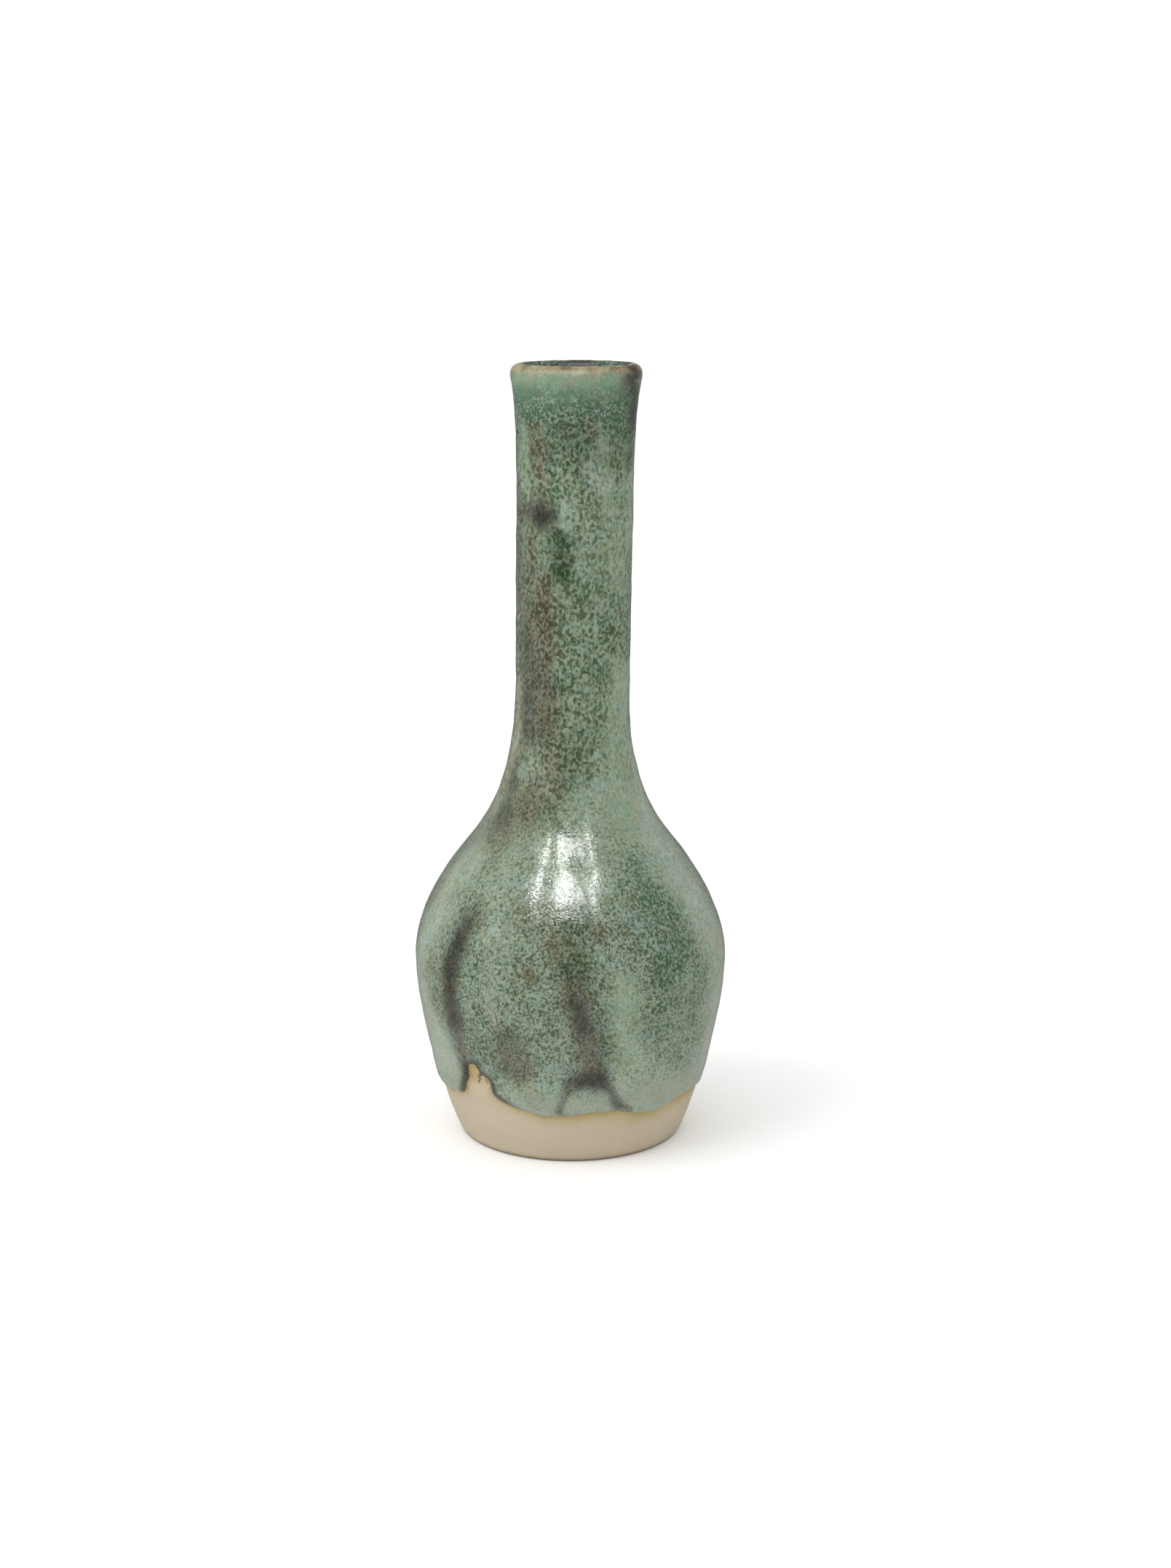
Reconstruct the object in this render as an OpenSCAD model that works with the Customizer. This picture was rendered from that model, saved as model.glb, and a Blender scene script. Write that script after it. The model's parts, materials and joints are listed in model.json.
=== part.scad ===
// Hand-thrown ceramic bud vase: a fired clay body with three coats of glaze fused to it.
// +Z is up, the origin is the middle of the face it stands on, and lengths are in millimetres.

/* [Body] */
// Height of the finished vase, from the table to the top of the lip
vase_height = 150; // [135:1:170]
// Radius of the bare clay at its widest, across the belly
belly_radius = 30; // [27:0.5:34]
// Height of the widest part of the belly
belly_height = 36; // [33:0.5:38]
// Thickness of the clay wall at the belly
belly_wall = 4; // [3:0.1:5]

/* [Foot] */
// Radius of the foot where it meets the table
foot_radius = 21.4; // [19:0.1:22]
// Radius of the trimmed hollow under the foot
foot_hollow_radius = 13; // [8:0.5:15]
// Depth of the trimmed hollow under the foot
foot_hollow_depth = 0.8; // [0.4:0.1:1.5]
// Thickness of the clay floor over the table
floor_height = 6; // [5:0.5:8]

/* [Neck] */
// Radius of the bare clay at the straight part of the neck
neck_radius = 10.5; // [10:0.1:12]
// Radius of the bore in the neck, inside its glaze
bore_radius = 7; // [6:0.1:7.5]
// Radius of the bare clay at the lip
lip_radius = 12; // [11.5:0.1:13.5]

/* [Glaze] */
// Thickness of the coat on the outside
outer_glaze_thickness = 0.5; // [0.3:0.05:0.8]
// Thickness of the coat on the inside
liner_glaze_thickness = 0.4; // [0.3:0.05:0.6]
// Thickness of the coat over the lip
lip_glaze_thickness = 0.3; // [0.2:0.05:0.4]
// Half the width of the gap between two runs at the glaze's lower edge
run_gap_radius = 2.8; // [2:0.1:3.2]

/* [Hidden] */
$fn = 96;

curve_steps = 12;          // straight pieces that each Bezier curve is drawn with
foot_bevel = 0.5;          // trimmed edge round the foot
foot_hollow_slope = 3;     // width of the slope into the foot's hollow
glaze_line = 10;           // height of the outer coat's lower edge
knee_height = 16;          // where the foot's flare turns up into the belly
shoulder_height = 57.5;    // where the belly's curve turns over into the neck's
shoulder_radius = 20.2;
neck_start = 88;           // the neck is straight from here
neck_end = vase_height - 32;
lip_edge = vase_height - 2.6;   // where the outer coat ends and the lip's begins
lip_inner = vase_height - 3.2;  // where the lip's coat ends and the liner begins
lip_top = vase_height - lip_glaze_thickness;
lip_inner_radius = bore_radius + 2.4;
lip_crest_radius = (lip_radius + lip_inner_radius) / 2;
bore_start = 82;           // the bore is straight from here
bore_end = vase_height - 13;
clay_bore_radius = bore_radius + liner_glaze_thickness;
cavity_radius = belly_radius - belly_wall;
run_gap_angle = -42;       // round from the front, towards the left
run_gap_top = 19;

function bezier(p, t) =
    pow(1 - t, 3) * p[0] + 3 * t * pow(1 - t, 2) * p[1]
    + 3 * t * t * (1 - t) * p[2] + pow(t, 3) * p[3];

// The points of a Bezier curve, without its last one, so that curves can be strung together.
function curve(p, steps = curve_steps) = [for (i = [0:steps - 1]) bezier(p, i / steps)];

// A value part of the way from a to b, and never past either.
function mix(a, b, part) = a + (b - a) * max(0, min(1, part));

// Under the foot and up the clay that stays bare, to the outer coat's lower edge.
bare_clay = [
    [0, foot_hollow_depth],
    [foot_hollow_radius - foot_hollow_slope, foot_hollow_depth],
    [foot_hollow_radius, 0],
    [foot_radius, 0],
    [foot_radius + foot_bevel, foot_bevel],
    [foot_radius + 1.2, 2.2],
    [foot_radius + 2.4, 5],
    [foot_radius + 3.3, 8],
];

// Outside of the clay, from the outer coat's lower edge up to the lip.
clay_outside = concat(
    curve([[foot_radius + 3.9, glaze_line], [foot_radius + 4.8, 12],
           [foot_radius + 5.2, 13.4], [foot_radius + 5.6, knee_height]], 8),
    curve([[foot_radius + 5.6, knee_height], [foot_radius + 6.4, 20],
           [belly_radius, belly_height - 9], [belly_radius, belly_height]]),
    curve([[belly_radius, belly_height], [belly_radius, belly_height + 7.5],
           [shoulder_radius + 4.6, shoulder_height - 5.6], [shoulder_radius, shoulder_height]]),
    curve([[shoulder_radius, shoulder_height], [shoulder_radius - 4.2, shoulder_height + 5.1],
           [neck_radius, shoulder_height + 13], [neck_radius, neck_start]], 16),
    [[neck_radius, neck_start]],
    curve([[neck_radius, neck_end], [neck_radius, neck_end + 16],
           [neck_radius + 0.4, neck_end + 24.5], [lip_radius, lip_edge]])
);

// Top of the clay, over the crest of the lip from the outside to the inside.
clay_lip = concat(
    curve([[lip_radius, lip_edge], [lip_radius + 0.35, lip_top - 0.8],
           [lip_crest_radius + 0.7, lip_top], [lip_crest_radius, lip_top]], 8),
    curve([[lip_crest_radius, lip_top], [lip_crest_radius - 0.7, lip_top],
           [lip_inner_radius + 0.1, lip_top - 0.8], [lip_inner_radius, lip_inner]], 8)
);

// Inside of the clay, from the lip down to the middle of the floor.
clay_inside = concat(
    curve([[lip_inner_radius, lip_inner], [lip_inner_radius - 0.8, lip_inner - 3.5],
           [clay_bore_radius, bore_end + 5], [clay_bore_radius, bore_end]]),
    [[clay_bore_radius, bore_end], [clay_bore_radius, bore_start + 0.1]],
    curve([[clay_bore_radius, bore_start], [clay_bore_radius, shoulder_height + 11],
           [shoulder_radius - 7.6, shoulder_height + 2.6],
           [shoulder_radius - 4.2, shoulder_height - 1.6]]),
    curve([[shoulder_radius - 4.2, shoulder_height - 1.6], [shoulder_radius, shoulder_height - 6.8],
           [cavity_radius, belly_height + 8], [cavity_radius, belly_height]]),
    curve([[cavity_radius, belly_height], [cavity_radius, belly_height - 11],
           [foot_radius + 1, floor_height + 9], [foot_radius - 1, floor_height + 5]]),
    curve([[foot_radius - 1, floor_height + 5], [foot_radius - 2.6, floor_height + 1.8],
           [foot_radius - 6, floor_height], [foot_radius - 10, floor_height]], 8),
    [[foot_radius - 10, floor_height], [0, floor_height]]
);

// All the clay under the three coats, in one string of points, and where each coat begins.
coated_clay = concat(clay_outside, clay_lip, clay_inside);
lip_start = len(clay_outside);
liner_start = lip_start + len(clay_lip);
coat_end = len(coated_clay) - 1;

// The coats thin out towards the lip, on the outside and on the inside.
function coat_thickness(i) =
    let (z = coated_clay[i][1])
    i < lip_start
        ? mix(outer_glaze_thickness, lip_glaze_thickness, (z - neck_end) / (lip_edge - neck_end))
        : mix(liner_glaze_thickness, lip_glaze_thickness, (z - bore_end) / (lip_inner - bore_end));

// The direction square to the clay's surface at point i, pointing out of the clay.
function out_of_clay(i) =
    let (ahead = coated_clay[min(i + 1, coat_end)] - coated_clay[max(i - 1, 0)])
    [ahead[1], -ahead[0]] / norm(ahead);

glazed_surface = [for (i = [0:coat_end]) coated_clay[i] + coat_thickness(i) * out_of_clay(i)];

module clay_body() {
    color("tan")
        rotate_extrude()
            polygon(concat(bare_clay, coated_clay));
}

// The ring of glaze between two points of the coated clay.
module coat(first, last) {
    rotate_extrude()
        polygon(concat(
            [for (i = [first:last]) glazed_surface[i]],
            [for (i = [last:-1:first]) coated_clay[i]]
        ));
}

// A gap between two runs of glaze: an arch with its top at run_gap_top, open at the bottom.
module run_gap() {
    arch_middle = run_gap_top - run_gap_radius;
    rotate([0, 0, -90 + run_gap_angle])
        rotate([90, 0, 90])
            linear_extrude(height = 2 * belly_radius)
                union() {
                    translate([0, arch_middle])
                        circle(r = run_gap_radius);
                    translate([-run_gap_radius, 0])
                        square([2 * run_gap_radius, arch_middle]);
                }
}

module outer_glaze() {
    color("darkseagreen")
        difference() {
            coat(0, lip_start);
            run_gap();
        }
}

module lip_glaze() {
    color("burlywood")
        coat(lip_start, liner_start);
}

module liner_glaze() {
    color("slategray")
        coat(liner_start, coat_end);
}

clay_body();
outer_glaze();
lip_glaze();
liner_glaze();
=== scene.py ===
# Looks of the ceramic bud vase: a bare clay body, a mottled green coat outside that ends in a wavy line
# over the foot, a thin coat that breaks to tan over the lip, and a liner inside, darkened with painted shade.
# Lengths are in millimetres until the meshes are made, azimuths are in degrees from the front (-Y)
# towards the right (+X), and every piece is in the CAD frame.
import json
import math
import random

import bpy
import numpy as np
from mathutils import Matrix, Vector


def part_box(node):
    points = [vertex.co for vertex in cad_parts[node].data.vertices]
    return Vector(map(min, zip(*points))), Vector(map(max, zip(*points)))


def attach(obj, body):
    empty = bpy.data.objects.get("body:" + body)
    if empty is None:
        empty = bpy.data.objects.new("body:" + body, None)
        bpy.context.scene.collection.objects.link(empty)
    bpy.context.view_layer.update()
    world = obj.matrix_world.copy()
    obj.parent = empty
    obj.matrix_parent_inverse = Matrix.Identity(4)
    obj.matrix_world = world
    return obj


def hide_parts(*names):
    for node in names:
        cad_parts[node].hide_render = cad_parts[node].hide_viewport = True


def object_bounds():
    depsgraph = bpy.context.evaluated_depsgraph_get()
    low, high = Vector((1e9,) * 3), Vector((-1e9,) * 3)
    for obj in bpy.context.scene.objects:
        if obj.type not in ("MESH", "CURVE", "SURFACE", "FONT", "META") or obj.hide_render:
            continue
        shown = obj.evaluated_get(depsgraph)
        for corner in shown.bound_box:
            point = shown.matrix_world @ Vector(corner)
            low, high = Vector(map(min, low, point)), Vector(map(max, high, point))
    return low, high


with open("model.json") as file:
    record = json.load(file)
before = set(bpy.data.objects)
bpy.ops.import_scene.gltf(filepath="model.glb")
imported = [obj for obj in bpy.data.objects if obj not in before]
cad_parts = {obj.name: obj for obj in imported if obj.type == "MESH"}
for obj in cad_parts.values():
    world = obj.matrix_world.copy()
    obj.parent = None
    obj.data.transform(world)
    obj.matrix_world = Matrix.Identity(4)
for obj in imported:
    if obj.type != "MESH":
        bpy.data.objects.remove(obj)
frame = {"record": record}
cad_low, cad_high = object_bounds()
MM = 0.001

# ---------------- sizes: the first from the frame, the rest given

bore = next(m for m in frame["record"]["mounts"] if m["name"] == "neck_bore")
clay_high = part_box("clay_body")[1]
coat_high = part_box("outer_glaze")[1]
lip_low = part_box("lip_glaze")[0]
liner_low, liner_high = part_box("liner_glaze")

HEIGHT = cad_high.z / MM
BELLY_RADIUS = clay_high.x / MM
COAT = coat_high.x / MM - BELLY_RADIUS      # thickness of the outer coat
LIP_COAT = HEIGHT - clay_high.z / MM
BORE_RADIUS = bore["dims"]["r_mm"]
CAVITY_RADIUS = liner_high.x / MM
FLOOR = liner_low.z / MM                    # the clay floor inside
LINER = 0.4                                 # thickness of the coat inside
LIP_EDGE = HEIGHT - 2.6                     # where the outer coat ends and the lip's begins
LIP_INNER = lip_low.z / MM                  # where the lip's coat ends and the liner begins

FOOT_RADIUS = 21.4
FOOT_HOLLOW = 0.8                           # depth of the hollow under the foot
GLAZE_LINE = 10                             # about where the outer coat's lower edge is
KNEE = 16                                   # where the foot's flare turns up into the belly
BELLY_HEIGHT = 36
SHOULDER_RADIUS, SHOULDER_HEIGHT = 20.2, 57.5
NECK_RADIUS, NECK_START, NECK_END = 10.5, 88, HEIGHT - 32
LIP_RADIUS = 12
BORE_START, BORE_END = 82, HEIGHT - 13      # the bore is straight between these
LIP_INNER_RADIUS = BORE_RADIUS + 2.4
LIP_CREST_RADIUS = (LIP_RADIUS + LIP_INNER_RADIUS) / 2
HIDDEN = 0.1                                # how deep in the clay the backs of the thin coats lie

# ---------------- the vase's section


def curve(steps, *corners):
    """Points along a Bezier curve, without its last one, so that curves can be strung together."""
    t = np.linspace(0, 1, steps, endpoint=False)[:, None]
    a, b, c, d = (np.array(corner, float) for corner in corners)
    return (1 - t) ** 3 * a + 3 * t * (1 - t) ** 2 * b + 3 * t * t * (1 - t) * c + t ** 3 * d


def clay_under_foot():
    """From the middle of the hollow under the foot out to the ring that the vase stands on."""
    return np.vstack([
        [[0, FOOT_HOLLOW]],
        curve(8, (0.5, FOOT_HOLLOW), (4, FOOT_HOLLOW), (7, FOOT_HOLLOW), (10, FOOT_HOLLOW)),
        curve(8, (10, FOOT_HOLLOW), (11.2, FOOT_HOLLOW), (11.8, 0), (13, 0)),
        curve(8, (13, 0), (16, 0), (18, 0), (FOOT_RADIUS - 0.3, 0)),
        curve(8, (FOOT_RADIUS - 0.3, 0), (FOOT_RADIUS + 0.1, 0), (FOOT_RADIUS + 0.35, 0.2),
              (FOOT_RADIUS + 0.55, 0.6)),
    ])


def clay_outside():
    """From the foot's edge up to where the lip's coat begins; its height only rises."""
    foot, belly = FOOT_RADIUS, BELLY_RADIUS
    return np.vstack([
        curve(36, (foot + 0.55, 0.6), (foot + 1.7, 2.8), (foot + 3.2, 7), (foot + 3.9, GLAZE_LINE)),
        curve(24, (foot + 3.9, GLAZE_LINE), (foot + 4.8, 12), (foot + 5.2, 13.4), (foot + 5.6, KNEE)),
        curve(30, (foot + 5.6, KNEE), (foot + 6.4, 20), (belly, BELLY_HEIGHT - 9), (belly, BELLY_HEIGHT)),
        curve(30, (belly, BELLY_HEIGHT), (belly, BELLY_HEIGHT + 7.5),
              (SHOULDER_RADIUS + 4.6, SHOULDER_HEIGHT - 5.6), (SHOULDER_RADIUS, SHOULDER_HEIGHT)),
        curve(40, (SHOULDER_RADIUS, SHOULDER_HEIGHT), (SHOULDER_RADIUS - 4.2, SHOULDER_HEIGHT + 5.1),
              (NECK_RADIUS, SHOULDER_HEIGHT + 13), (NECK_RADIUS, NECK_START)),
        [[NECK_RADIUS, NECK_START]],
        curve(30, (NECK_RADIUS, NECK_END), (NECK_RADIUS, NECK_END + 16),
              (NECK_RADIUS + 0.4, NECK_END + 24.5), (LIP_RADIUS, LIP_EDGE)),
        [[LIP_RADIUS, LIP_EDGE]],
    ])


def clay_lip():
    """Over the crest of the lip, from the outside to the inside."""
    top = HEIGHT - LIP_COAT
    return np.vstack([
        curve(20, (LIP_RADIUS, LIP_EDGE), (LIP_RADIUS + 0.35, top - 0.8),
              (LIP_CREST_RADIUS + 0.7, top), (LIP_CREST_RADIUS, top)),
        curve(20, (LIP_CREST_RADIUS, top), (LIP_CREST_RADIUS - 0.7, top),
              (LIP_INNER_RADIUS + 0.1, top - 0.8), (LIP_INNER_RADIUS, LIP_INNER)),
        [[LIP_INNER_RADIUS, LIP_INNER]],
    ])


def clay_inside():
    """From the lip's inner edge down the bore and the belly to the middle of the floor."""
    bore_clay = BORE_RADIUS + LINER
    foot, shoulder, height = FOOT_RADIUS, SHOULDER_RADIUS - 4.2, SHOULDER_HEIGHT - 1.6
    return np.vstack([
        curve(16, (LIP_INNER_RADIUS, LIP_INNER), (LIP_INNER_RADIUS - 0.8, LIP_INNER - 3.5),
              (bore_clay, BORE_END + 5), (bore_clay, BORE_END)),
        curve(30, (bore_clay, BORE_END), (bore_clay, BORE_END - 18), (bore_clay, BORE_START + 18),
              (bore_clay, BORE_START)),
        curve(16, (bore_clay, BORE_START), (bore_clay, SHOULDER_HEIGHT + 11),
              (shoulder - 3.4, height + 4.2), (shoulder, height)),
        curve(14, (shoulder, height), (shoulder + 4.2, height - 5.2),
              (CAVITY_RADIUS, BELLY_HEIGHT + 8), (CAVITY_RADIUS, BELLY_HEIGHT)),
        curve(14, (CAVITY_RADIUS, BELLY_HEIGHT), (CAVITY_RADIUS, BELLY_HEIGHT - 11),
              (foot + 1, FLOOR + 9), (foot - 1, FLOOR + 5)),
        curve(10, (foot - 1, FLOOR + 5), (foot - 2.6, FLOOR + 1.8), (foot - 6, FLOOR), (foot - 10, FLOOR)),
        [[foot - 10, FLOOR], [6, FLOOR], [1, FLOOR], [0, FLOOR]],
    ])


def away(points):
    """The direction square to a string of section points at each one, out of the clay."""
    ahead = np.gradient(points, axis=0)
    square = np.stack([ahead[:, 1], -ahead[:, 0]], 1)
    return square / np.linalg.norm(square, axis=1)[:, None]


OUTSIDE = clay_outside()
# The directions are worked out in one string, so that the two coats meet squarely at the lip's edge.
COATED_AWAY = away(np.vstack([OUTSIDE, clay_lip()[1:]]))
OUTSIDE_AWAY = COATED_AWAY[:len(OUTSIDE)]
LIP_AWAY = COATED_AWAY[len(OUTSIDE) - 1:]
OUTSIDE_LENGTH = np.concatenate([[0], np.cumsum(np.linalg.norm(np.diff(OUTSIDE, axis=0), axis=1))])


def outside(height):
    """Radius of the clay's outside at a height, and the direction square to it."""
    radius = np.interp(height, OUTSIDE[:, 1], OUTSIDE[:, 0])
    out = np.interp(height, OUTSIDE[:, 1], OUTSIDE_AWAY[:, 0])
    up = np.interp(height, OUTSIDE[:, 1], OUTSIDE_AWAY[:, 1])
    return radius, out, up


def climb(height):
    """Length along the outside of the section, up to a height."""
    return np.interp(height, OUTSIDE[:, 1], OUTSIDE_LENGTH)


# ---------------- the hand-made shape


def clamped(value):
    """A value kept from 0 to 1."""
    return np.clip(value, 0, 1)


def bell(distance, width, power=2):
    """1 where the distance is 0, about a third where it is the width, and then falling to 0."""
    return np.exp(-np.abs(distance / width) ** power)


def turned(azimuth, middle):
    """Degrees from a middle azimuth, the short way round."""
    return (azimuth - middle + 180) % 360 - 180


def waves(azimuth, height, *parts):
    """A sum of waves round and up the vase: each has its turns, its length in mm, its phase and its size."""
    around = np.radians(azimuth)
    return sum(
        size * np.sin(turns * around + 2 * math.pi * height / length + phase)
        for turns, length, phase, size in parts
    )


def wobble(azimuth, height):
    """How far the potter's hands left the wall from a true circle, in mm."""
    slow = waves(azimuth, height, (2, 210, 0.6, 0.07), (3, 95, 2.1, 0.04), (-2, 60, 4.0, 0.03))
    rings = waves(azimuth, height, (1, 4.3, 0.0, 0.016), (-1, 7.9, 1.3, 0.018), (1, 2.6, 2.2, 0.007))
    return slow + rings


NECK_LEAN = 1.35        # how far the lip stands to the right of the foot
LEAN_START = 44.0       # the lean begins over this height


def lean(height):
    """How far the vase's middle stands to the right of its foot, at a height."""
    part = clamped((height - LEAN_START) / (HEIGHT - LEAN_START))
    return NECK_LEAN * part * (0.25 * part + 0.75)


def place(azimuth, radius, height):
    """Points in metres in the frame, for section points taken round the vase."""
    off_axis = clamped(radius / 8)
    thrown = radius + wobble(azimuth, height) * off_axis
    around = np.radians(azimuth)
    right, front = thrown * np.sin(around) + lean(height), thrown * np.cos(around)
    return np.stack([right, -front, height + 0 * around], -1) * MM


# ---------------- the glaze's lower edge

# Where the outer coat ends over the foot, as azimuth and height: a gap between two runs at the front
# left, a shallow arch at the front, and slow waves behind.
EDGE = [
    (-172, 10.6), (-158, 9.4), (-146, 10.2), (-131, 11.4), (-117, 10.1), (-103, 9.2), (-90, 10.6),
    (-78, 10.7), (-68, 10.6), (-60, 11.2), (-56.6, 11.4), (-52.8, 11.7), (-50.8, 12.1), (-49, 13.1),
    (-48, 13.8), (-47.2, 14.7), (-45.8, 15.7), (-44.9, 16.5), (-44.6, 17.4), (-44.4, 18.2), (-43.9, 18.8),
    (-43, 19.1), (-41.7, 19.2), (-40.4, 19.1), (-39.5, 18.6), (-39.1, 17.9), (-38.8, 17.35), (-37.8, 17.3),
    (-36.7, 17.2), (-35, 16.8), (-34.1, 16), (-33.75, 15.2), (-33.6, 14.3), (-33.1, 13.5), (-31.4, 12.95),
    (-28.5, 12.35), (-26, 11.9), (-23.4, 11.5), (-20.3, 11.15), (-17.2, 10.9), (-12.4, 10.3),
    (-6.5, 10.4), (1, 10.5), (8.5, 11.1), (16, 11.1), (22.3, 10.9), (26.5, 10.3), (31, 9.7), (36, 9.4),
    (41, 9.3), (46, 9.8), (51, 10.4),
    (58, 10.7), (67, 10.6), (78, 10.1), (91, 9.6), (104, 10.8), (113, 12.4), (121, 12.1), (130, 10.2),
    (143, 9.5), (156, 11.3), (166, 11.8), (177, 11.2),
]
EDGE_ROUNDING = 0.22     # azimuth over which its corners are rounded
EDGE_RADIUS = 27.0       # about how far from the axis the edge runs
EDGE_REACH = 27          # no distance is worked out over this height
PAST_EDGE = 9.0          # the distance that is given there instead
EDGE_WINDOW = 24         # only this many stretches of the line on either side are tried
FAR = 99.0               # a distance that any other one is less than


def edge_height(azimuth):
    """Height of the coat's lower edge."""
    known = np.array([(a + turn, h) for turn in (-360, 0, 360) for a, h in EDGE])
    offsets = np.linspace(-1.6, 1.6, 9) * EDGE_ROUNDING
    weights = bell(offsets, EDGE_ROUNDING)
    total = sum(w * np.interp(azimuth + o, known[:, 0], known[:, 1]) for o, w in zip(offsets, weights))
    ragged = waves(azimuth, 0, (41, 1, 0.4, 0.035), (67, 1, 1.9, 0.03), (103, 1, 0.2, 0.02))
    return total / weights.sum() + ragged


def segment_distance(x, y, start, along):
    """Distance from each point to one segment, or to a segment of its own."""
    px, py = x - start[..., 0], y - start[..., 1]
    t = clamped((px * along[..., 0] + py * along[..., 1]) / (along ** 2).sum(-1))
    return np.hypot(px - t * along[..., 0], py - t * along[..., 1])


def edge_distance(azimuth, height):
    """Distance from the coat's lower edge in mm, positive on the glazed side."""
    around = np.arange(-180, 180, 0.25)
    line = np.stack([np.radians(around) * EDGE_RADIUS, climb(edge_height(around))], 1)
    whole_turn = [2 * math.pi * EDGE_RADIUS, 0]
    line = np.concatenate([line - whole_turn, line, line + whole_turn])
    wrapped = turned(azimuth, 0)
    near = height < EDGE_REACH
    x, y = np.radians(wrapped[near]) * EDGE_RADIUS, climb(height[near])
    start, along = line[:-1], np.diff(line, axis=0)
    best = np.full(x.shape, FAR)
    middle = np.searchsorted(line[:, 0], x)
    for step in range(-EDGE_WINDOW, EDGE_WINDOW + 1):
        i = np.clip(middle + step, 0, len(start) - 1)
        best = np.minimum(best, segment_distance(x, y, start[i], along[i]))
    side = np.where(height[near] >= edge_height(wrapped[near]), 1, -1)
    result = np.full(height.shape, PAST_EDGE)
    result[near] = best * side
    return result


# ---------------- colours and marks

SHEEN = 0.01             # what the gloss adds to every colour as it is seen
CLAY_SHEEN = 0.008       # and what the matt clay's sheen adds
LIGHT = 1.24             # how bright a white surface is seen


def seen(red, green, blue, sheen=SHEEN):
    """The base colour that is seen as this sRGB colour, from 0 to 255, under the scene's light."""
    share = np.array([red, green, blue]) / 255
    linear = np.where(share <= 0.04045, share / 12.92, ((share + 0.055) / 1.055) ** 2.4)
    return np.maximum((linear - sheen) / LIGHT, 0.003)


# Each paint has these fields: the ground's colour and the flecks' colour, as sRGB from 0 to 255, how much
# the flecks cover, how sharply they stand out, and how many rust-brown specks there are.
FIELDS = ("ground", "fleck", "cover", "contrast", "rust")
PAINTS = {
    "green": ((88, 103, 80), (148, 163, 147), 0.49, 4.4, 0.25),
    "belly_green": ((86, 96, 76), (150, 165, 151), 0.44, 4.4, 0.25),
    "neck_green": ((80, 94, 70), (144, 160, 141), 0.41, 4.4, 0.18),
    "sage": ((94, 108, 86), (147, 161, 143), 0.46, 3.8, 0.05),
    "veil": ((110, 132, 117), (148, 166, 151), -0.06, 4.4, 0.0),
    "skim": ((138, 156, 139), (156, 172, 156), -0.1, 4.4, 0.0),
    "teal": ((84, 106, 89), (150, 168, 153), 0.06, 5.0, 0.0),
    "deep_teal": ((76, 96, 77), (146, 164, 148), 0.24, 4.8, 0.05),
    "dark_green": ((54, 70, 52), (112, 128, 108), 0.24, 4.0, 0.05),
    "top_green": ((64, 79, 59), (134, 150, 134), 0.31, 4.6, 0.2),
    "olive": ((88, 96, 68), (142, 154, 132), 0.42, 4.0, 0.35),
    "brown": ((77, 73, 58), (136, 138, 120), 0.36, 4.0, 0.35),
    "umber_green": ((84, 85, 66), (146, 152, 136), 0.42, 4.0, 0.4),
    "rust": ((84, 68, 48), (124, 118, 98), 0.25, 4.0, 0.6),
    "charcoal": ((62, 60, 55), (90, 91, 84), 0.35, 2.8, 0.0),
    "ink": ((58, 56, 51), (82, 82, 75), 0.3, 2.8, 0.0),
    "smoke": ((82, 82, 74), (120, 122, 112), 0.4, 3.4, 0.15),
    "grey": ((98, 99, 92), (136, 138, 129), 0.45, 3.0, 0.1),
    "beige": ((130, 131, 114), (167, 167, 150), 0.5, 3.0, 0.1),
    "pale": ((149, 160, 145), (172, 182, 168), 0.55, 3.0, 0.0),
    "milk": ((142, 149, 135), (161, 168, 155), 0.58, 2.2, 0.05),
    "mint": ((118, 132, 112), (162, 174, 158), 0.56, 3.6, 0.05),
    "frost": ((136, 147, 134), (176, 186, 178), 0.6, 3.0, 0.0),
    "celadon": ((124, 140, 119), (158, 172, 152), 0.52, 3.0, 0.0),
    "cream": ((146, 146, 122), (166, 164, 140), 0.5, 2.0, 0.0),
    "tan": ((158, 144, 112), (184, 174, 146), 0.5, 3.0, 0.15),
    # the pale line along the crest; at the front of the lip it is a painted highlight
    "crest": ((178, 170, 140), (200, 194, 168), 0.5, 2.0, 0.0),
    "umber": ((96, 76, 46), (132, 110, 72), 0.35, 3.6, 0.9),
}

# The bands that the colours are laid down in first, from the foot to the lip: height and paint.
BANDS = [
    (9, "milk"), (13, "milk"), (17, "mint"), (22, "belly_green"), (48, "belly_green"), (58, "mint"),
    (66, "green"), (74, "green"), (82, "neck_green"), (104, "neck_green"), (112, "sage"), (122, "green"),
    (130, "neck_green"), (135, "top_green"), (139, "deep_teal"), (143, "teal"),
    (145.7, "veil"), (147.3, "skim"), (152, "skim"),
]

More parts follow.
